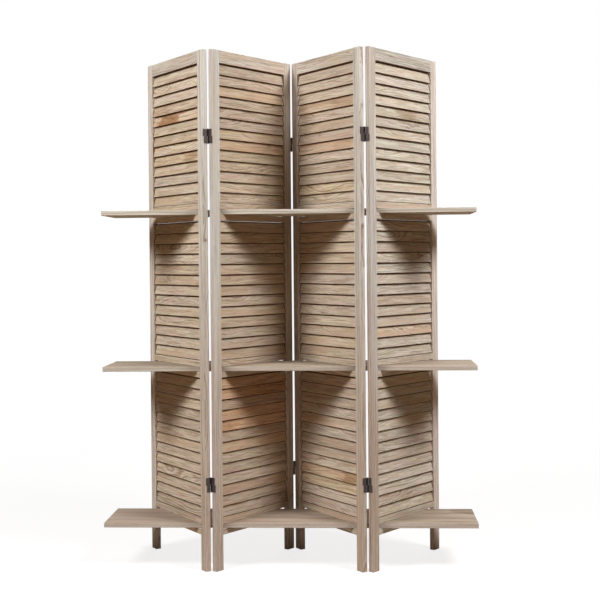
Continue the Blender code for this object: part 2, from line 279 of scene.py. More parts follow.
# Camera
CAMERA_PLACE = (0.2273, -3.9531, 1.0113)
CAMERA_YAW = math.radians(2.8035)
CAMERA_PITCH = math.radians(-0.4653)
CAMERA_ROLL = math.radians(-0.4934)
CAMERA_SHIFT = (0.0, -0.05)
SENSOR_WIDTH = 36
PICTURE_PIXELS = 600
FOCAL_PIXELS = 1171.47

# Lights: name, setting of the power, size as a share of the setting, and place
SOFTBOXES = (("left_softbox", "left_power", 1.0, (-2.48, -2.08, 3.33)),
             ("right_softbox", "right_power", 1.0, (2.48, -1.60, 3.53)),
             ("back_softbox", "back_power", 2.5, (0.40, 3.40, 2.60)))
FILL_COLOUR = (1.0, 0.47, 0.25, 1)
WHITE = (1, 1, 1)

# Floor: distances from the middle where its colour changes and where the camera sees white
FLOOR_RADIUS = 9.0
FLOOR_SIDES = 96
FLOOR_AT_FEET = (0.56, 0.50, 0.45)
FEET_RAMP = (1.0, 0.5)
WHITE_RAMP = (1.0, 3.0)
FLOOR_ROUGHNESS = 0.9
FLOOR_GLOW = 0.80
FLOOR_CATCH = (0.34, 0.34, 0.34)


# Settings

class LouvreSettings(bpy.types.PropertyGroup):
    """Sizes of the slats"""
    slat_width: FloatProperty(
        name="Slat width", description="Width of a slat from edge to edge",
        default=0.038, unit="LENGTH")
    slat_thickness: FloatProperty(
        name="Slat thickness", description="Thickness of a slat",
        default=0.005, unit="LENGTH")
    slat_ease: FloatProperty(
        name="Slat easing", description="How far the long edges of a slat are rounded",
        default=0.0012, unit="LENGTH")
    slat_tilt: FloatProperty(
        name="Slat tilt", description="Lean of the slats, lower edge forward",
        default=math.radians(15.0), unit="ROTATION")
    tilt_spread: FloatProperty(
        name="Tilt spread", description="How much the lean differs from slat to slat",
        default=math.radians(0.3), unit="ROTATION")
    height_spread: FloatProperty(
        name="Height spread", description="How much the height differs from slat to slat",
        default=0.00015, unit="LENGTH")


class TimberSettings(bpy.types.PropertyGroup):
    """Colours of the wood"""
    slat_light: FloatVectorProperty(
        name="Slat early wood", description="Pale part of a slat's grain",
        default=(0.815, 0.675, 0.525), subtype="COLOR")
    slat_dark: FloatVectorProperty(
        name="Slat late wood", description="Dark part of a slat's grain",
        default=(0.35, 0.230, 0.143), subtype="COLOR")
    slat_warm: FloatVectorProperty(
        name="Slat heartwood", description="Warm patches of a slat",
        default=(0.68, 0.480, 0.330), subtype="COLOR")
    frame_light: FloatVectorProperty(
        name="Frame early wood", description="Pale part of the stiles' and rails' grain",
        default=(0.795, 0.750, 0.680), subtype="COLOR")
    frame_dark: FloatVectorProperty(
        name="Frame late wood", description="Dark part of the stiles' and rails' grain",
        default=(0.31, 0.225, 0.160), subtype="COLOR")
    frame_warm: FloatVectorProperty(
        name="Frame heartwood", description="Warm patches of the stiles and rails",
        default=(0.66, 0.545, 0.430), subtype="COLOR")
    board_light: FloatVectorProperty(
        name="Board early wood", description="Pale part of a board's grain",
        default=(0.62, 0.53, 0.43), subtype="COLOR")
    board_dark: FloatVectorProperty(
        name="Board late wood", description="Dark part of a board's grain",
        default=(0.30, 0.23, 0.165), subtype="COLOR")
    board_warm: FloatVectorProperty(
        name="Board heartwood", description="Warm patches of a board",
        default=(0.54, 0.43, 0.33), subtype="COLOR")


class HingeSettings(bpy.types.PropertyGroup):
    """Colours and screws of the hinges"""
    bronze: FloatVectorProperty(
        name="Bronze", description="Dark finish of the hinges",
        default=(0.060, 0.043, 0.040), subtype="COLOR")
    worn: FloatVectorProperty(
        name="Worn bronze", description="Metal that shows where the finish is rubbed",
        default=(0.18, 0.13, 0.12), subtype="COLOR")
    screw_radius: FloatProperty(
        name="Screw head radius", description="Radius of a hinge screw's head",
        default=0.0027, unit="LENGTH")


class StageSettings(bpy.types.PropertyGroup):
    """Lights and floor of the studio"""
    left_power: FloatProperty(
        name="Left softbox", description="Power of the left softbox",
        default=106.0, unit="POWER")
    right_power: FloatProperty(
        name="Right softbox", description="Power of the right softbox",
        default=114.0, unit="POWER")
    back_power: FloatProperty(
        name="Back softbox", description="Power of the softbox behind the screen",
        default=36.0, unit="POWER")
    softbox_size: FloatProperty(
        name="Softbox size", description="Side of each softbox",
        default=1.20, unit="LENGTH")
    fill: FloatProperty(
        name="Fill", description="Strength of the even light from all round",
        default=0.045)
    floor_colour: FloatVectorProperty(
        name="Floor", description="Colour of the studio floor",
        default=(0.36, 0.25, 0.16), subtype="COLOR")


# Node trees

class Nodes:
    """Adds nodes to a tree; an input given a socket is linked, and one given a value is set."""

    def __init__(self, tree):
        self.tree = tree

    def add(self, kind, inputs=None, **settings):
        """Add a node with its inputs and settings."""
        node = self.tree.nodes.new("ShaderNode" + kind)
        for name, value in settings.items():
            setattr(node, name, value)
        for key, value in (inputs or {}).items():
            self.feed(node.inputs[key], value)
        return node

    def feed(self, socket, value):
        """Link a socket into an input, or set the input's value."""
        if isinstance(value, bpy.types.NodeSocket):
            self.tree.links.new(value, socket)
        elif socket.type == "RGBA" and len(value) == 3:
            socket.default_value = (*value, 1)
        else:
            socket.default_value = value

    def math(self, operation, *values, clamp=False):
        """Result of a sum or other operation."""
        node = self.add("Math", dict(enumerate(values)), operation=operation, use_clamp=clamp)
        return node.outputs[0]

    def vector(self, operation, *values):
        """Result of an operation on vectors: a value for a length, or else a vector."""
        node = self.add("VectorMath", dict(enumerate(values)), operation=operation)
        return node.outputs["Value" if operation == "LENGTH" else "Vector"]

    def split(self, vector):
        """The three parts of a vector or a colour."""
        return self.add("SeparateXYZ", {0: vector}).outputs

    def join(self, x, y, z):
        """Vector of three parts."""
        return self.add("CombineXYZ", {0: x, 1: y, 2: z}).outputs[0]

    def ramp(self, value, start, end, low=0.0, high=1.0):
        """Smooth change from low to high while a value goes from the start to the end."""
        inputs = {"Value": value, "From Min": start, "From Max": end,
                  "To Min": low, "To Max": high}
        return self.add("MapRange", inputs, interpolation_type="SMOOTHSTEP").outputs[0]

    def line(self, value, limit, distances, strength=1.0):
        """Mask of a line that begins and is full at two distances in from a limit."""
        start, end = distances
        return self.ramp(value, limit - start, limit - end, 0.0, strength)

    def blend(self, factor, first, second, mode="MIX"):
        """Second colour laid over the first."""
        inputs = {0: factor, 6: first, 7: second}
        return self.add("Mix", inputs, data_type="RGBA", blend_type=mode).outputs[2]

    def noise(self, vector, seed, detail=2.0, roughness=0.5, colour=False):
        """Noise that differs from seed to seed: one value, or three in a colour."""
        inputs = {"Vector": vector, "W": seed, "Scale": 1.0, "Detail": detail,
                  "Roughness": roughness}
        node = self.add("TexNoise", inputs, noise_dimensions="4D")
        return node.outputs["Color" if colour else "Fac"]


def new_group(name, inputs, outputs):
    """Empty shader node group with named sockets; gives its nodes, inputs and output node."""
    tree = bpy.data.node_groups.new(name, "ShaderNodeTree")
    for label, kind, default in inputs:
        socket = tree.interface.new_socket(label, in_out="INPUT", socket_type="NodeSocket" + kind)
        if default is not None:
            socket.default_value = default
    for label, kind in outputs:
        tree.interface.new_socket(label, in_out="OUTPUT", socket_type="NodeSocket" + kind)
    nodes = Nodes(tree)
    given = tree.nodes.new("NodeGroupInput").outputs
    result = tree.nodes.new("NodeGroupOutput").inputs
    return nodes, given, result


def make_sawn_wood():
    """Wood sawn from a log: rings round a heart some way off, streaks, fibres and a knot."""
    nodes, given, result = new_group(
        "Sawn wood",
        [("Vector", "Vector", None), ("Seed", "Float", 1.0), ("Ring Width", "Float", 0.005),
         ("Heart Distance", "Float", 0.06), ("Knot", "Vector", None), ("Knot Radius", "Float", 0.0),
         ("Streak Size", "Float", 0.006), ("Streak Length", "Float", 0.3), ("Wave", "Float", 1.0),
         ("Light", "Color", (0.7, 0.55, 0.4, 1)), ("Dark", "Color", (0.45, 0.3, 0.2, 1)),
         ("Warm", "Color", (0.65, 0.45, 0.3, 1)), ("Tint Spread", "Float", 0.2),
         ("Tint Patches", "Float", 0.4)],
        [("Color", "Color"), ("Roughness", "Float"), ("Height", "Float")])
    place = given["Vector"]
    seed = nodes.math("ROUND", given["Seed"])
    turn, far, warmth = drawn_values(nodes, seed)
    lightness, redness, _ = drawn_values(nodes, nodes.math("ADD", seed, SECOND_DRAW))
    own = nodes.math("MULTIPLY", seed, OWN_SEED_STEP)
    core, halo = knot_masks(nodes, place, given["Knot"], given["Knot Radius"])

    # The grain follows a place that wobbles a little and bends round the knot
    wobble = nodes.vector("MULTIPLY", place, WOBBLE_SCALE)
    wobble = nodes.noise(wobble, own, detail=3.0, roughness=0.55)
    wobble = nodes.math("MULTIPLY", nodes.ramp(wobble, *WOBBLE_RAMP), given["Wave"])
    wobble = nodes.math("ADD", wobble, nodes.math("MULTIPLY", halo, KNOT_SWELL))
    waved = nodes.vector("ADD", place, nodes.join(0.0, wobble, wobble))
    late = late_wood(nodes, given, waved, own, (turn, far))

    # Streaks, broad patches and fibres along the grain
    fine = nodes.math("DIVIDE", 1.0, given["Streak Size"])
    lengthwise = nodes.math("DIVIDE", 1.0, given["Streak Length"])
    stretched = nodes.vector("MULTIPLY", waved, nodes.join(lengthwise, fine, fine))
    streak = nodes.ramp(nodes.noise(stretched, own, detail=3.0, roughness=0.62), *STREAK_RAMP)
    broad = nodes.vector("MULTIPLY", stretched, BROAD_SHARES)
    broad = nodes.ramp(nodes.noise(broad, own, roughness=0.55), *BROAD_RAMP)
    fibre = nodes.noise(nodes.vector("MULTIPLY", place, FIBRE_SCALE), own, roughness=0.6)

    grain = nodes.math("MULTIPLY", late, LATE_DARKNESS)
    grain = nodes.math("ADD", grain, nodes.math("MULTIPLY", streak, STREAK_DARKNESS))
    grain = nodes.math("ADD", grain, nodes.ramp(fibre, *FIBRE_RAMP), clamp=True)
    colour = nodes.blend(grain, given["Light"], given["Dark"])
    warm = nodes.math("MULTIPLY", broad, nodes.ramp(warmth, *WARMTH_RAMP))
    colour = nodes.blend(warm, colour, given["Warm"])
    patches = patch_tints(nodes, stretched, own, given["Tint Patches"])
    colour = nodes.blend(1.0, colour, patches, "MULTIPLY")
    tint = piece_tint(nodes, lightness, redness, given["Tint Spread"])
    colour = nodes.blend(1.0, colour, tint, "MULTIPLY")
    colour = nodes.blend(nodes.math("MULTIPLY", halo, HALO_STRENGTH), colour, HALO_COLOUR)
    colour = nodes.blend(nodes.math("MULTIPLY", core, CORE_STRENGTH), colour, CORE_COLOUR)

    height = nodes.math("MULTIPLY", fibre, FIBRE_RELIEF)
    height = nodes.math("ADD", height, nodes.math("MULTIPLY", streak, STREAK_RELIEF))
    height = nodes.math("SUBTRACT", height, nodes.math("MULTIPLY", late, LATE_RELIEF))
    rough = nodes.math("ADD", fibre, nodes.math("MULTIPLY", late, LATE_POLISH))
    nodes.feed(result["Color"], colour)
    nodes.feed(result["Roughness"], nodes.ramp(rough, *WOOD_ROUGHNESS_RAMP))
    nodes.feed(result["Height"], height)


def drawn_values(nodes, seed):
    """Three values from 0 to 1 that differ from seed to seed."""
    drawn = nodes.add("TexWhiteNoise", {"W": seed}, noise_dimensions="1D").outputs["Color"]
    return nodes.split(drawn)


def knot_masks(nodes, place, centre, radius):
    """Dark core of a branch, and the halo of wood that bends round it."""
    gap = nodes.vector("LENGTH", nodes.vector("SUBTRACT", place, centre))
    gap = nodes.math("DIVIDE", gap, nodes.math("MAXIMUM", radius, LEAST_KNOT))
    return nodes.ramp(gap, *CORE_RAMP), nodes.ramp(gap, *HALO_RAMP)


def late_wood(nodes, given, waved, own, drawn):
    """Dark part of each ring round a heart that wanders along the log."""
    turn, far = drawn
    along = nodes.split(given["Vector"])[0]
    bend = nodes.join(nodes.math("MULTIPLY", along, SWAY_SCALE), 0.0, 0.0)
    bend = nodes.noise(bend, own, detail=1.0, colour=True)
    sway = nodes.math("MULTIPLY", given["Wave"], HEART_SWAY)
    bend = nodes.vector("MULTIPLY", nodes.vector("SUBTRACT", bend, NOISE_MIDDLE),
                        nodes.join(0.0, sway, sway))
    angle = nodes.ramp(turn, *HEART_TURN_RAMP)
    reach = nodes.math("MULTIPLY", given["Heart Distance"], nodes.ramp(far, *HEART_REACH_RAMP))
    heart = nodes.join(0.0, nodes.math("MULTIPLY", nodes.math("COSINE", angle), reach),
                       nodes.math("MULTIPLY", nodes.math("SINE", angle), reach))
    across = nodes.vector("MULTIPLY", waved, (0.0, 1.0, 1.0))
    across = nodes.vector("SUBTRACT", nodes.vector("ADD", across, bend), heart)
    count = nodes.math("DIVIDE", nodes.vector("LENGTH", across), given["Ring Width"])
    ring = nodes.math("FRACT", count)
    late = nodes.math("MULTIPLY", nodes.ramp(ring, *LATE_RISE), nodes.ramp(ring, *LATE_FALL))
    season = nodes.join(nodes.math("MULTIPLY", count, SEASON_SCALE), 0.0, 0.0)
    season = nodes.ramp(nodes.noise(season, own, detail=1.0), *SEASON_RAMP)
    return nodes.math("MULTIPLY", late, season)


def patch_tints(nodes, stretched, own, amount):
    """Tints of patches along the grain, as shares of red, green and blue."""
    patch = nodes.vector("MULTIPLY", stretched, PATCH_SHARES)
    patch = nodes.noise(patch, nodes.math("ADD", own, PATCH_DRAW), detail=1.0, colour=True)
    patch = nodes.vector("SUBTRACT", patch, NOISE_MIDDLE)
    patch = nodes.vector("MULTIPLY", patch, nodes.join(amount, amount, amount))
    return nodes.vector("ADD", patch, UNCHANGED)


def piece_tint(nodes, lightness, redness, spread):
    """A piece's own lightness and warmth, as shares of red, green and blue."""
    level = nodes.math("SUBTRACT", lightness, MEAN_LIGHTNESS)
    level = nodes.math("ADD", nodes.math("MULTIPLY", level, spread), 1.0)
    hue = nodes.math("MULTIPLY", nodes.math("SUBTRACT", redness, MEAN_REDNESS), spread)
    redder = nodes.math("ADD", level, nodes.math("MULTIPLY", hue, RED_CHANGE))
    bluer = nodes.math("SUBTRACT", level, nodes.math("MULTIPLY", hue, BLUE_CHANGE))
    return nodes.join(redder, level, bluer)


def make_worn_and_highlit_edges():
    """Mask of the edges of a box-shaped piece, broken up by noise, where they are paler: partly
    worn and partly a painted highlight.
    """
    nodes, given, result = new_group(
        "Edge wear",
        [("Vector", "Vector", None), ("Half Size", "Vector", None), ("Width", "Float", 0.001),
         ("Seed", "Float", 1.0)],
        [("Mask", "Float")])
    inside = nodes.vector("SUBTRACT", given["Half Size"], nodes.vector("ABSOLUTE", given["Vector"]))
    x, y, z = nodes.split(nodes.vector("ABSOLUTE", inside))
    lowest = nodes.math("MINIMUM", nodes.math("MINIMUM", x, y), z)
    highest = nodes.math("MAXIMUM", nodes.math("MAXIMUM", x, y), z)
    second = nodes.math("ADD", nodes.math("ADD", x, y), z)
    second = nodes.math("SUBTRACT", nodes.math("SUBTRACT", second, lowest), highest)
    ragged = nodes.noise(nodes.vector("MULTIPLY", given["Vector"], WORN_HIGHLIT_SCALE), given["Seed"],
                         detail=3.0, roughness=0.6)
    ragged = nodes.ramp(ragged, *WORN_HIGHLIT_RAGGED_RAMP)
    near = nodes.math("DIVIDE", second, nodes.math("MULTIPLY", given["Width"], ragged))
    nodes.feed(result["Mask"], nodes.ramp(near, *WORN_HIGHLIT_RAMP))


def make_worn_bronze():
    """Dark bronze finish, mottled, and rubbed bright in places."""
    nodes, given, result = new_group(
        "Worn bronze",
        [("Vector", "Vector", None), ("Dark", "Color", (0.05, 0.04, 0.03, 1)),
         ("Worn", "Color", (0.2, 0.14, 0.1, 1)), ("Seed", "Float", 1.0)],
        [("Color", "Color"), ("Roughness", "Float"), ("Height", "Float")])
    place, seed = given["Vector"], given["Seed"]
    mottle = nodes.vector("MULTIPLY", place, MOTTLE_SCALE)
    mottle = nodes.noise(mottle, seed, detail=4.0, roughness=0.6)
    rubbed = nodes.vector("MULTIPLY", place, RUB_SCALE)
    rubbed = nodes.ramp(nodes.noise(rubbed, seed, detail=3.0, roughness=0.65), *RUB_RAMP)
    colour = nodes.blend(nodes.ramp(mottle, *MOTTLE_RAMP), given["Dark"], given["Worn"])
    colour = nodes.blend(nodes.math("MULTIPLY", rubbed, RUB_STRENGTH), colour, given["Worn"])
    nodes.feed(result["Color"], colour)
    nodes.feed(result["Roughness"], nodes.ramp(mottle, *BRONZE_ROUGHNESS_RAMP))
    nodes.feed(result["Height"], mottle)


# Materials

def new_material(name):
    """Empty material; gives its nodes and the shader."""
    material = bpy.data.materials.new(name)
    material.use_nodes = True
    nodes = Nodes(material.node_tree)
    return material, nodes, material.node_tree.nodes["Principled BSDF"]


def place_group(nodes, name, inputs):
    """A shader node group placed in a material with its own values."""
    return nodes.add("Group", inputs, node_tree=bpy.data.node_groups[name]).outputs


def wood_palette(kind):
    """Pale, dark and warm colours of the wood of the slats, the frame or the boards."""
    settings = bpy.context.scene.screen_timber
    return [getattr(settings, f"{kind}_{part}") for part in ("light", "dark", "warm")]


def tinted(palette, tone):
    """A palette with each colour multiplied by a tone."""
    return [tuple(channel * share for channel, share in zip(colour, tone)) for colour in palette]


def finish_wood(nodes, shader, place, seed, half, palette, grain, knot, layers):
    """Wood from a place along the grain, with paler edges, partly worn and partly a painted
    highlight, and layers of tint on top, some of them painted shade and light.
    """
    light, dark, warm = palette
    centre, radius = knot
    spread_out = nodes.vector("MULTIPLY", place, (1.0, grain["across"], 1.0))
    wood = place_group(nodes, "Sawn wood", {
        "Vector": spread_out, "Seed": seed, "Ring Width": grain["ring"],
        "Heart Distance": grain["heart"], "Knot": centre, "Knot Radius": radius,
        "Tint Spread": grain["spread"], "Tint Patches": grain["patches"],
        "Streak Size": grain["streak"], "Streak Length": grain["length"], "Wave": grain["wave"],
        "Light": light, "Dark": dark, "Warm": warm})
    worn_and_highlit = place_group(nodes, "Edge wear", {
        "Vector": place, "Half Size": half, "Width": WORN_HIGHLIT_WIDTH, "Seed": seed})["Mask"]
    # Paler edges, partly worn and partly a painted highlight
    pale = [(1 - WORN_HIGHLIT_PALENESS) * channel + WORN_HIGHLIT_PALENESS for channel in light]
    colour = nodes.blend(nodes.math("MULTIPLY", worn_and_highlit, WORN_HIGHLIT_STRENGTH), wood["Color"], pale)
    for factor, tint, mode in layers:
        colour = nodes.blend(factor, colour, tint, mode)
    bump = nodes.add("Bump", {"Height": wood["Height"], "Strength": WOOD_BUMP,
                              "Distance": WOOD_RELIEF})
    nodes.feed(shader.inputs["Base Color"], colour)
    nodes.feed(shader.inputs["Roughness"], wood["Roughness"])
    nodes.feed(shader.inputs["Normal"], bump.outputs["Normal"])
    shader.inputs["Specular IOR Level"].default_value = WOOD_SPECULAR


def timber_material(name, palette, grain, seed, centre, axes, half, knot=NO_KNOT, side_tint=None,
                    dark_edge=0, foot=False):
    """Wood of one straight piece; the axes run along the grain, across it and through it."""
    material, nodes, shader = new_material(name)
    turn = Matrix(axes).transposed().to_euler()
    source = nodes.add("TexCoord").outputs
    place = nodes.add("Mapping", {"Vector": source["Object"], "Location": centre,
                                  "Rotation": turn}, vector_type="TEXTURE").outputs[0]
    facing = nodes.add("Mapping", {"Vector": source["Normal"], "Rotation": turn},
                       vector_type="TEXTURE").outputs[0]
    ends, sides, _ = nodes.split(nodes.vector("ABSOLUTE", facing))
    along, across, _ = nodes.split(place)
    layers = [(nodes.ramp(ends, *FACING_RAMP), END_TINT, "MULTIPLY")]
    # For the boards this side tint is painted light on their front and back edges
    if side_tint:
        layers.append((nodes.ramp(sides, *FACING_RAMP), side_tint, "MULTIPLY"))
    # Painted shade, darker and warmer towards the feet of the front stiles
    if foot:
        low = nodes.ramp(along, *(share * half[0] for share in FOOT_SHARES))
        layers.append((low, FOOT_SHADE_TINT, "MULTIPLY"))
    # Painted shade along the rail's edge beside the slats
    if dark_edge:
        towards = nodes.math("MULTIPLY", across, dark_edge)
        crevice_shade = nodes.line(towards, half[1], RAIL_EDGE_LINE, RAIL_LINE_STRENGTH)
        layers.append((crevice_shade, CREVICE_SHADE_COLOUR, "MIX"))
    finish_wood(nodes, shader, place, seed, half, palette, grain, knot, layers)
    return material


def slat_material(palette):
    """Wood of all the slats, which carry their own places, seeds, tones, figures and knots."""
    material, nodes, shader = new_material("slatted_wood")
    settings = bpy.context.scene.screen_louvres
    carried = {name: nodes.add("Attribute", attribute_name=name).outputs
               for name in (*SLAT_VECTORS, SLAT_SEED)}
    place, tone = carried["slat_place"]["Vector"], carried["slat_tone"]["Vector"]
    seed = carried[SLAT_SEED]["Fac"]
    half_width = settings.slat_width / 2
    half = (OPEN_WIDTH / 2 + SLAT_HOUSING, half_width, settings.slat_thickness / 2)
    height = nodes.split(nodes.add("TexCoord").outputs["Object"])[2]
    along = nodes.math("ABSOLUTE", nodes.split(place)[0])
    layers = [(1.0, tone, "MULTIPLY"),
              (brown_figure(nodes, carried["slat_figure"]["Vector"], place, seed), FIGURE_TINT,
               "MULTIPLY"),
              # Painted shade where the slats overlap and on their thin edges
              (overlap_shadow(nodes, place, height, half_width), CREVICE_SHADE_COLOUR, "MIX"),
              # Painted shade where the slats meet the stiles
              (nodes.line(along, OPEN_WIDTH / 2, JOINT_LINE, JOINT_STRENGTH), JOINT_SHADE_COLOUR, "MIX")]
    knot_along, knot_across, radius = nodes.split(carried["slat_knot"]["Vector"])
    knot = (nodes.join(knot_along, knot_across, 0.0), radius)
    finish_wood(nodes, shader, place, seed, half, palette, GRAINS["slat"], knot, layers)
    return material


def brown_figure(nodes, figure, place, seed):
    """Mask of a slat's brown figure, with a ragged outline."""
    middle, reach, strength = nodes.split(figure)
    away = nodes.math("ABSOLUTE", nodes.math("SUBTRACT", nodes.split(place)[0], middle))
    away = nodes.math("DIVIDE", away, nodes.math("MAXIMUM", reach, LEAST_REACH))
    ragged = nodes.vector("MULTIPLY", place, FIGURE_SCALE)
    ragged = nodes.noise(ragged, seed, detail=3.0, roughness=0.6)
    away = nodes.math("ADD", away, nodes.ramp(ragged, *FIGURE_RAGGED_RAMP))
    return nodes.math("MULTIPLY", nodes.ramp(away, *FIGURE_RAMP), strength)


def overlap_shadow(nodes, place, height, half_width):
    """Mask of painted shade where slats overlap, wider low down, and on their thin edges."""
    _, across, through = nodes.split(place)
    narrow, wide = CREVICE_WIDTHS
    edge = nodes.ramp(height, *CREVICE_HEIGHTS, half_width - narrow, half_width - wide)
    depth = nodes.math("SUBTRACT", across, edge)
    fronts = nodes.math("MULTIPLY", nodes.ramp(depth, 0.0, CREVICE_SOFTNESS),
                        nodes.ramp(through, 0.0, -FACE_SOFTNESS))
    start, end = BACK_CREVICE
    backs = nodes.math("MULTIPLY", nodes.ramp(across, start - half_width, end - half_width),
                       nodes.ramp(through, 0.0, FACE_SOFTNESS))
    edges = nodes.line(nodes.math("ABSOLUTE", across), half_width, SLAT_EDGE_LINE)
    shadow = nodes.math("MAXIMUM", nodes.math("MAXIMUM", fronts, backs), edges)
    return nodes.math("MULTIPLY", shadow, CREVICE_STRENGTH)


def stile_material(number, side):
    """Wood of a stile on one side of a panel, -1 or 1, with its grain upright."""
    palette = tinted(wood_palette("frame"), STILE_TONES[number, side])
    panel = panel_frame(number)
    centre = panel @ Vector((side * (PANEL_WIDTH - STILE_WIDTH) / 2, 0, SCREEN_HEIGHT / 2))
    sideways, back = panel.col[0].to_3d(), panel.col[1].to_3d()
    axes = (Vector((0, 0, 1)), sideways, back)
    half = (SCREEN_HEIGHT / 2, STILE_WIDTH / 2, PANEL_THICKNESS / 2)
    side_name = "left" if side < 0 else "right"
    knot = STILE_KNOTS.get((number, side), NO_KNOT)
    at_front = (number % 2 == 1) == (side == 1)
    return timber_material(f"panel_{number}_{side_name}_stile_wood", palette, GRAINS["stile"],
                           PANEL_SEED_STEP * number + side, centre, axes, half, knot,
                           STILE_EDGE_TINT, foot=at_front)


def bronze_material(name, axis):
    """Dark bronze of the hinges on one axis, darkest at their knuckles."""
    material, nodes, shader = new_material(name)
    settings = bpy.context.scene.screen_hinges
    source = nodes.add("TexCoord").outputs["Object"]
    place = nodes.add("Mapping", {"Vector": source, "Location": axis},
                      vector_type="TEXTURE").outputs[0]
    metal = place_group(nodes, "Worn bronze", {
        "Vector": place, "Dark": settings.bronze, "Worn": settings.worn, "Seed": BRONZE_SEED})
    radius = nodes.vector("LENGTH", nodes.vector("MULTIPLY", place, (1.0, 1.0, 0.0)))
    knuckle = nodes.ramp(radius, *KNUCKLE_RAMP)
    colour = nodes.blend(knuckle, metal["Color"], KNUCKLE_COLOUR)
    bump = nodes.add("Bump", {"Height": metal["Height"], "Strength": BRONZE_BUMP,
                              "Distance": BRONZE_RELIEF})
    nodes.feed(shader.inputs["Base Color"], colour)
    nodes.feed(shader.inputs["Roughness"], metal["Roughness"])
    nodes.feed(shader.inputs["Normal"], bump.outputs["Normal"])
    shader.inputs["Metallic"].default_value = BRONZE_METALLIC
    return material


# Shapes

def panel_frame(number):
    """Frame of a panel: X to its right, Y to its back and Z up, from its middle on the floor."""
    turn = PANEL_ANGLE if number % 2 == 0 else -PANEL_ANGLE
    place = Vector(((number - (len(PANELS) + 1) / 2) * PANEL_SPACING, 0, 0))
    return Matrix.Translation(place) @ Matrix.Rotation(turn, 4, "Z")


def box_frame(name):
    """Middle and half size of a node's box in the row's own axes."""
    low, high = (Vector(corner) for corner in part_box(name))
    return (low + high) / 2, (high - low) / 2


def new_piece(name, bm, material, body):
    """Turn a bmesh into a piece that rides on a body."""
    bmesh.ops.recalc_face_normals(bm, faces=bm.faces)
    mesh = bpy.data.meshes.new(name)
    bm.to_mesh(mesh)
    bm.free()
    mesh.materials.append(material)
    piece = bpy.data.objects.new(name, mesh)
    bpy.context.collection.objects.link(piece)
    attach(piece, body)
    return piece


def merged_copy(name):
    """Copy of a node's mesh with its corners joined."""
    bm = bmesh.new()
    bm.from_mesh(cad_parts[name].data)
    bmesh.ops.remove_doubles(bm, verts=bm.verts, dist=MERGE_DISTANCE)
    return bm


def dress(name, material):
    """Give a node of the frame its material."""
    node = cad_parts[name]
    if not node.material_slots:
        node.data.materials.append(material)
    for slot in node.material_slots:
        slot.link = "OBJECT"
        slot.material = material


class SCREEN_OT_stiles(bpy.types.Operator):
    """Add the left stiles with their housings, and finish the right ones"""
    bl_idname = "louvred.stiles"
    bl_label = "Stiles"

    def execute(self, context):
        for number in PANELS:
            panel = panel_frame(number)
            bm = merged_copy(f"panel_{number}_housed_stile")
            mirror = panel @ Matrix.Diagonal((-1, 1, 1, 1)) @ panel.inverted()
            bmesh.ops.transform(bm, matrix=mirror, verts=bm.verts)
            piece = new_piece(f"panel_{number}_left_stile", bm, stile_material(number, -1),
                              f"panel_{number}")
            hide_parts(f"panel_{number}_slatted_stile")
            dress(f"panel_{number}_housed_stile", stile_material(number, 1))
        return {"FINISHED"}


class SCREEN_OT_slats(bpy.types.Operator):
    """Add the louvre slats of every bay, let into the stiles"""
    bl_idname = "louvred.slats"
    bl_label = "Slats"

    def execute(self, context):
        settings = context.scene.screen_louvres
        material = slat_material(wood_palette("slat"))
        chance = random.Random(SLAT_DRAWS)
        for number in PANELS:
            for bay, bay_name in enumerate(BAYS):
                bm = bmesh.new()
                layers = {name: bm.verts.layers.float_vector.new(name) for name in SLAT_VECTORS}
                layers[SLAT_SEED] = bm.verts.layers.float.new(SLAT_SEED)
                for index in range(SLATS_PER_BAY):
                    fresh = add_slat(bm, settings, layers[SLAT_SEED])
                    mark_slat(fresh, layers, number, bay, index)
                    lean = settings.slat_tilt + chance.uniform(-1, 1) * settings.tilt_spread
                    height = FIRST_SLAT_HEIGHT + bay * BAY_STEP + index * SLAT_PITCH
                    height += chance.uniform(-1, 1) * settings.height_spread
                    where = panel_frame(number) @ Matrix.Translation((0, 0, height))
                    bmesh.ops.transform(bm, matrix=where @ Matrix.Rotation(-lean, 4, "X"),
                                        verts=fresh)
                piece = new_piece(f"panel_{number}_{bay_name}_slats", bm, material,
                                  f"panel_{number}")
                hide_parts(f"panel_{number}_slatted_stile")
        return {"FINISHED"}


def add_slat(bm, settings, seed):
    """Add one upright slat about the origin, with rounded long edges; gives its corners."""
    length = OPEN_WIDTH + 2 * SLAT_HOUSING
    size = Matrix.Diagonal((length, settings.slat_thickness, settings.slat_width, 1))
    made = bmesh.ops.create_cube(bm, size=1, matrix=size)["verts"]
    edges = {edge for vert in made for edge in vert.link_edges}
    long_edges = [edge for edge in edges
                  if abs(edge.verts[0].co.x - edge.verts[1].co.x) > length / 2]
    bmesh.ops.bevel(bm, geom=long_edges, offset=settings.slat_ease, offset_type="OFFSET",
                    affect="EDGES", segments=SLAT_EASE_SEGMENTS, profile=0.5, material=-1)
    return [vert for vert in bm.verts if vert[seed] == 0]


def mark_slat(verts, layers, number, bay, index):
    """Give an upright slat's corners their places, tone, figure, knot and seed."""
    key = (number, BAYS[bay], index)
    kind, figure = SLAT_MARKS.get(key, ("plain", NO_FIGURE))
    tone = Vector(SLAT_TONES[number]) * Vector(OWN_TONES[kind])
    for vert in verts:
        vert[layers["slat_place"]] = vert.co.xzy
        vert[layers["slat_tone"]] = tone
        vert[layers["slat_figure"]] = figure
        vert[layers["slat_knot"]] = SLAT_KNOTS.get(key, NO_SLAT_KNOT)
        vert[layers[SLAT_SEED]] = 1 + index + SLATS_PER_BAY * (bay + len(BAYS) * number)


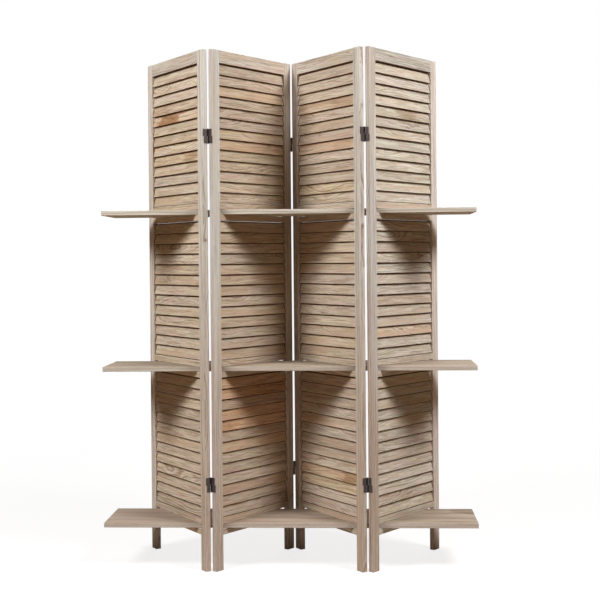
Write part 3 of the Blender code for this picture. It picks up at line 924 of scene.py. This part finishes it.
class SCREEN_OT_rails(bpy.types.Operator):
    """Finish the rails of every panel, their grain running from stile to stile"""
    bl_idname = "louvred.rails"
    bl_label = "Rails"

    def execute(self, context):
        for number in PANELS:
            panel = panel_frame(number)
            axes = (panel.col[0].to_3d(), Vector((0, 0, 1)), panel.col[1].to_3d())
            prefix = f"panel_{number}_"
            rails = sorted(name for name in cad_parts
                           if name.startswith(prefix) and "rail" in name)
            if len(rails) != RAILS_PER_PANEL:
                raise RuntimeError(f"{prefix} has {len(rails)} rails")
            for index, name in enumerate(rails):
                middle, size = box_frame(name)
                centre = panel @ Vector((0, 0, middle.z))
                half = (OPEN_WIDTH / 2, size.z, RAIL_THICKNESS / 2)
                if "top_rail" in name:
                    palette = tinted(wood_palette("frame"), TOP_RAIL_TONES[number])
                else:
                    palette = tinted(wood_palette("slat"), SLAT_TONES[number])
                seed = FIRST_RAIL_SEED + PANEL_SEED_STEP * number + index
                wood = timber_material(f"{name}_wood", palette, GRAINS["rail"], seed, centre, axes,
                                       half, dark_edge=self.slat_side(name))
                if "above" in name:
                    self.add_close_rail(number, name, wood, middle.z - size.z)
                else:
                    dress(name, wood)
        return {"FINISHED"}

    def slat_side(self, name):
        """Side of a rail that the slats are on: 1 above it, -1 below it and 0 for neither."""
        if "above" in name:
            return 1
        return 0 if "below_bottom" in name else -1

    def add_close_rail(self, number, name, wood, underside):
        """Add a rail whose lower edge comes down close to the board under it."""
        bm = merged_copy(name)
        edge = [vert for vert in bm.verts if vert.co.z < underside + RAIL_EDGE]
        bmesh.ops.translate(bm, verts=edge, vec=(0, 0, -RAIL_DROP))
        kind, shelf = name.split("rail_above_")
        piece = new_piece(f"{kind}close_rail_{shelf}", bm, wood, f"panel_{number}")
        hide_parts(name)


class SCREEN_OT_boards(bpy.types.Operator):
    """Finish the three boards, their grain running from end to end"""
    bl_idname = "louvred.boards"
    bl_label = "Boards"

    def execute(self, context):
        axes = (Vector((1, 0, 0)), Vector((0, 1, 0)), Vector((0, 0, 1)))
        for index, (name, tone) in enumerate(BOARD_TONES.items()):
            centre, half = box_frame(name)
            palette = tinted(wood_palette("board"), tone)
            wood = timber_material(f"{name}_wood", palette, GRAINS["board"],
                                   FIRST_BOARD_SEED + index, centre, axes, half,
                                   side_tint=BOARD_SIDE_PAINTED_LIGHT)
            dress(name, wood)
        return {"FINISHED"}


def screw_head_mesh(radius):
    """Countersunk screw head, nearly flush with the plane X = 0, with a cross recess."""
    bm = bmesh.new()
    points = [bm.verts.new((radius * up, radius * out, 0)) for out, up in SCREW_PROFILE_SHARES]
    edges = [bm.edges.new(pair) for pair in zip(points, points[1:])]
    bmesh.ops.spin(bm, geom=points + edges, cent=(0, 0, 0), axis=(1, 0, 0), dvec=(0, 0, 0),
                   angle=math.tau, steps=SCREW_SIDES, use_merge=True)
    bmesh.ops.remove_doubles(bm, verts=bm.verts, dist=radius * MERGE_SHARE)
    bmesh.ops.recalc_face_normals(bm, faces=bm.faces)
    head = as_object("screw_head", bm)
    cross = bmesh.new()
    place = Matrix.Translation((radius * CROWN_SHARE, 0, 0))
    bar = (RECESS_LENGTH_SHARE, RECESS_WIDTH_SHARE)
    for across, up in (bar, reversed(bar)):
        size = Matrix.Diagonal((RECESS_DEPTH_SHARE, across, up, 1))
        bmesh.ops.create_cube(cross, size=radius, matrix=place @ size)
    recess = as_object("screw_recess", cross)
    carve = head.modifiers.new("recess", "BOOLEAN")
    carve.operation = "DIFFERENCE"
    carve.solver = "EXACT"
    carve.use_self = True
    carve.object = recess
    bpy.context.view_layer.update()
    carved = head.evaluated_get(bpy.context.evaluated_depsgraph_get())
    mesh = bpy.data.meshes.new_from_object(carved)
    for used in (head, recess):
        bpy.data.objects.remove(used, do_unlink=True)
    return mesh


def as_object(name, bm):
    """Scratch object from a bmesh."""
    mesh = bpy.data.meshes.new(name)
    bm.to_mesh(mesh)
    bm.free()
    made = bpy.data.objects.new(name, mesh)
    bpy.context.collection.objects.link(made)
    return made


def leaf_frame(panel, end, back):
    """Axes of a hinge leaf: X out of the stile's end, Y across it and Z along the pin."""
    turn = panel_frame(panel).to_3x3()
    outward = turn @ Vector((end, 0, 0))
    across = turn @ Vector((0, -1 if back else 1, 0))
    return Matrix((outward, across, outward.cross(across))).transposed().to_4x4()


class SCREEN_OT_hinges(bpy.types.Operator):
    """Finish the hinges and add their screws"""
    bl_idname = "louvred.hinges"
    bl_label = "Hinges"

    def execute(self, context):
        head = screw_head_mesh(context.scene.screen_hinges.screw_radius)
        chance = random.Random(SCREW_DRAWS)
        for left, right in HINGES:
            back = left % 2 == 1
            axis, _ = box_frame(f"hinge_{left}{right}_lower_pin")
            bronze = bronze_material(f"hinge_{left}{right}_bronze", axis)
            for level in LEVELS:
                name = f"hinge_{left}{right}_{level}"
                pin, _ = box_frame(f"{name}_pin")
                dress(f"{name}_pin", bronze)
                for panel, end in ((left, 1), (right, -1)):
                    dress(f"{name}_leaf_{panel}", bronze)
                    place = Matrix.Translation(pin) @ leaf_frame(panel, end, back)
                    bm = bmesh.new()
                    for across, up in SCREW_PLACES:
                        turn = Matrix.Rotation(chance.uniform(0, math.pi), 4, "X")
                        seat = Matrix.Translation((-LEAF_FACE, across, up))
                        add_screw(bm, head, place @ seat @ turn)
                    new_piece(f"{name}_screws_{panel}", bm, bronze, f"panel_{panel}")
        return {"FINISHED"}


def add_screw(bm, head, place):
    """Add a screw head where it sits in a leaf."""
    bm.verts.ensure_lookup_table()
    start = len(bm.verts)
    bm.from_mesh(head)
    bm.verts.ensure_lookup_table()
    bmesh.ops.transform(bm, matrix=place, verts=bm.verts[start:])


# Stage

def seen_directly(nodes):
    """1 for what the camera sees, straight or in gloss or glass."""
    path = nodes.add("LightPath").outputs
    seen = nodes.math("MAXIMUM", path["Is Camera Ray"], path["Is Glossy Ray"])
    return nodes.math("MAXIMUM", seen, path["Is Transmission Ray"])


class SCREEN_OT_stage(bpy.types.Operator):
    """Add the floor, the softboxes, the fill light and the camera"""
    bl_idname = "louvred.stage"
    bl_label = "Stage"

    def execute(self, context):
        settings = context.scene.screen_stage
        self.add_floor(settings)
        self.add_lights(context.scene, settings)
        self.add_camera(context.scene)
        context.scene.view_settings.view_transform = "Standard"
        return {"FINISHED"}

    def add_floor(self, settings):
        """Add the floor: coloured for the light that it sends up, and white for the camera."""
        bm = bmesh.new()
        bmesh.ops.create_circle(bm, cap_ends=True, radius=FLOOR_RADIUS, segments=FLOOR_SIDES)
        mesh = bpy.data.meshes.new("studio_floor")
        bm.to_mesh(mesh)
        bm.free()
        floor = bpy.data.objects.new("studio_floor", mesh)
        bpy.context.collection.objects.link(floor)
        material, nodes, shader = new_material("studio_floor")
        shader.inputs["Roughness"].default_value = FLOOR_ROUGHNESS
        shader.inputs["Specular IOR Level"].default_value = 0.0
        reach = nodes.vector("LENGTH", nodes.add("TexCoord").outputs["Object"])
        colour = nodes.blend(nodes.ramp(reach, *FEET_RAMP), settings.floor_colour, FLOOR_AT_FEET)
        nodes.feed(shader.inputs["Base Color"], colour)
        far = nodes.ramp(reach, *WHITE_RAMP)
        glow = nodes.add("Emission", {"Color": WHITE, "Strength": FLOOR_GLOW}).outputs[0]
        white = nodes.add("Emission", {"Color": WHITE, "Strength": 1.0}).outputs[0]
        catch = nodes.add("BsdfDiffuse", {"Color": FLOOR_CATCH}).outputs[0]
        near = nodes.add("AddShader", {0: glow, 1: catch}).outputs[0]
        seen = nodes.add("MixShader", {0: far, 1: near, 2: white}).outputs[0]
        both = nodes.add("MixShader", {0: seen_directly(nodes), 1: shader.outputs[0], 2: seen})
        output = material.node_tree.nodes["Material Output"]
        nodes.feed(output.inputs["Surface"], both.outputs[0])
        mesh.materials.append(material)

    def add_lights(self, scene, settings):
        """Add the softboxes, and the even light that the camera sees as white."""
        target = Vector((0, 0, SCREEN_HEIGHT / 2))
        for name, power, scale, place in SOFTBOXES:
            lamp = bpy.data.lights.new(name, "AREA")
            lamp.shape = "SQUARE"
            lamp.size = scale * settings.softbox_size
            lamp.energy = getattr(settings, power)
            holder = bpy.data.objects.new(name, lamp)
            holder.location = place
            aim = target - Vector(place)
            holder.rotation_euler = aim.to_track_quat("-Z", "Y").to_euler()
            bpy.context.collection.objects.link(holder)
        world = bpy.data.worlds.new("studio")
        scene.world = world
        world.use_nodes = True
        nodes = Nodes(world.node_tree)
        fill = world.node_tree.nodes["Background"]
        fill.inputs["Color"].default_value = FILL_COLOUR
        fill.inputs["Strength"].default_value = settings.fill
        white = nodes.add("Background", {"Color": WHITE, "Strength": 1.0}).outputs[0]
        both = nodes.add("MixShader", {0: seen_directly(nodes), 1: fill.outputs[0], 2: white})
        nodes.feed(world.node_tree.nodes["World Output"].inputs["Surface"], both.outputs[0])

    def add_camera(self, scene):
        """Add the camera, placed as the photograph was taken."""
        data = bpy.data.cameras.new("studio_camera")
        data.sensor_width = SENSOR_WIDTH
        data.lens = FOCAL_PIXELS * SENSOR_WIDTH / PICTURE_PIXELS
        data.shift_x, data.shift_y = CAMERA_SHIFT
        camera = bpy.data.objects.new("studio_camera", data)
        turn = (Matrix.Rotation(CAMERA_YAW, 4, "Z")
                @ Matrix.Rotation(math.pi / 2 + CAMERA_PITCH, 4, "X")
                @ Matrix.Rotation(CAMERA_ROLL, 4, "Z"))
        camera.matrix_world = Matrix.Translation(CAMERA_PLACE) @ turn
        bpy.context.collection.objects.link(camera)
        scene.camera = camera


# Add-on

OPERATORS = (SCREEN_OT_stage, SCREEN_OT_stiles, SCREEN_OT_slats, SCREEN_OT_rails,
             SCREEN_OT_boards, SCREEN_OT_hinges)


class SCREEN_PT_sidebar(bpy.types.Panel):
    """Sizes, colours and steps of the folding screen"""
    bl_label = "Folding screen"
    bl_idname = "SCREEN_PT_sidebar"
    bl_space_type = "VIEW_3D"
    bl_region_type = "UI"
    bl_category = "Screen"

    def draw(self, context):
        for name in SETTINGS:
            settings = getattr(context.scene, name)
            box = self.layout.box()
            for prop in settings.bl_rna.properties:
                if prop.identifier not in ("rna_type", "name"):
                    box.prop(settings, prop.identifier)
        for operator in OPERATORS:
            self.layout.operator(operator.bl_idname)


SETTINGS = {"screen_louvres": LouvreSettings, "screen_timber": TimberSettings,
            "screen_hinges": HingeSettings, "screen_stage": StageSettings}


def register():
    for name, group in SETTINGS.items():
        bpy.utils.register_class(group)
        setattr(bpy.types.Scene, name, PointerProperty(type=group))
    for cls in (*OPERATORS, SCREEN_PT_sidebar):
        bpy.utils.register_class(cls)


def unregister():
    for cls in (SCREEN_PT_sidebar, *reversed(OPERATORS)):
        bpy.utils.unregister_class(cls)
    for name, group in SETTINGS.items():
        delattr(bpy.types.Scene, name)
        bpy.utils.unregister_class(group)


def main():
    """Build everything in order."""
    register()
    make_sawn_wood()
    make_worn_and_highlit_edges()
    make_worn_bronze()
    bpy.ops.louvred.stage()
    bpy.ops.louvred.stiles()
    bpy.ops.louvred.slats()
    bpy.ops.louvred.rails()
    bpy.ops.louvred.boards()
    bpy.ops.louvred.hinges()


if __name__ == "__main__":
    main()
